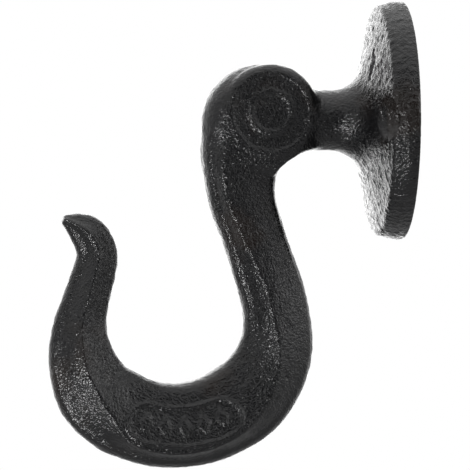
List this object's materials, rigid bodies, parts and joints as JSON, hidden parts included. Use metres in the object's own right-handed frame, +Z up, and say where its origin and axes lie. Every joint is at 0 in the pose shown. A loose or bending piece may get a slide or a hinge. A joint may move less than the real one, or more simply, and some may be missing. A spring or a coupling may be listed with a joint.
{
  "type": "wall hook",
  "caption": "Cast-iron wall hook: a round screw plate, a waisted neck, a disc-shaped knuckle and an S-shaped ridged hook that ends in a flared tip, in one solid casting.",
  "frame": {"origin": "centre of the round plate's back face, on the wall", "axes": "+Y into the wall, out of the plate's back face; -Y along the neck, away from the wall; +Z up; the hook lies in the plane X = 0, with its relief panel on the side that faces +X"},
  "size_m": [0.0595, 0.0893, 0.1167],
  "materials": {
    "black_cast_iron": "glossy black enamel over a fine sand-cast grain"
  },
  "bodies": {
    "root": {"hook": "black_cast_iron"}
  },
  "joints": []
}
